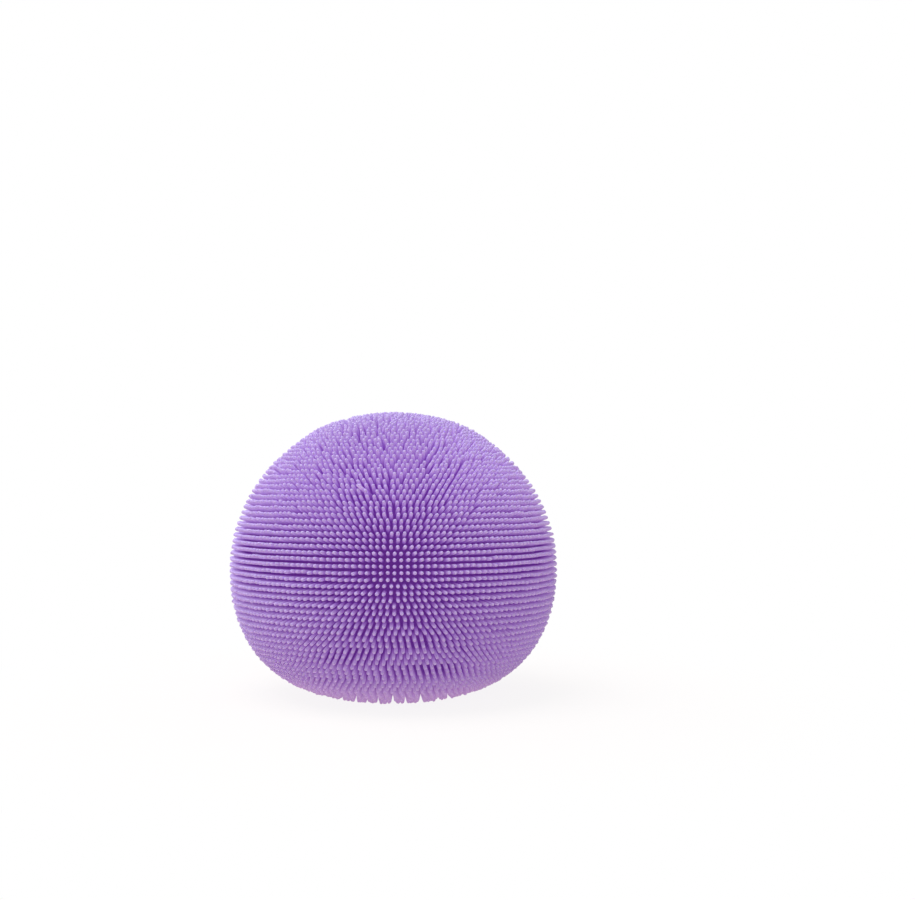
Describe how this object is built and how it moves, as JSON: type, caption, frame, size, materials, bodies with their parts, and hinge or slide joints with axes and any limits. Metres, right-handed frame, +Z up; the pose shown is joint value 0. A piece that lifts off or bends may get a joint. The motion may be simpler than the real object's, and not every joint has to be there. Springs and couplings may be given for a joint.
{
  "type": "bristled stress ball",
  "caption": "Soft squat squeeze ball: a gel-filled rubber skin covered in short bristles in level rings, closed by a plug underneath. It squashes under the hand and springs back.",
  "frame": {"origin": "middle of the ball's footprint, on the plane that it stands on", "axes": "+Z up, along the axis that the skin is turned about"},
  "size_m": [0.0846, 0.0846, 0.0736],
  "materials": {
    "skin": "soft satin rubber, lavender, paler at the bristle tips",
    "gel": "soft clear gel",
    "plug": "soft satin rubber, a darker lavender"
  },
  "bodies": {
    "base": {"skin_base": "skin", "fill_plug": "plug", "gel_filling": "gel"},
    "belly": {"skin_belly": "skin"},
    "shoulder": {"skin_shoulder": "skin"},
    "crown": {"skin_crown": "skin"}
  },
  "joints": [
    {"name": "squeeze", "type": "slide", "parent": "base", "child": "crown", "axis": [0, 0, -1], "range_m": [0, 0.025], "stiffness_N_per_m": 1200, "deforming": ["skin_belly", "skin_shoulder", "gel_filling"]},
    {"name": "shoulder_sink", "type": "slide", "parent": "base", "child": "shoulder", "axis": [0, 0, -1], "range_m": [0, 0.01625]},
    {"name": "belly_sink", "type": "slide", "parent": "base", "child": "belly", "axis": [0, 0, -1], "range_m": [0, 0.00875]}
  ],
  "couplings": [
    {"joint": "shoulder_sink", "follows": "squeeze", "ratio": 0.65},
    {"joint": "belly_sink", "follows": "squeeze", "ratio": 0.35}
  ]
}
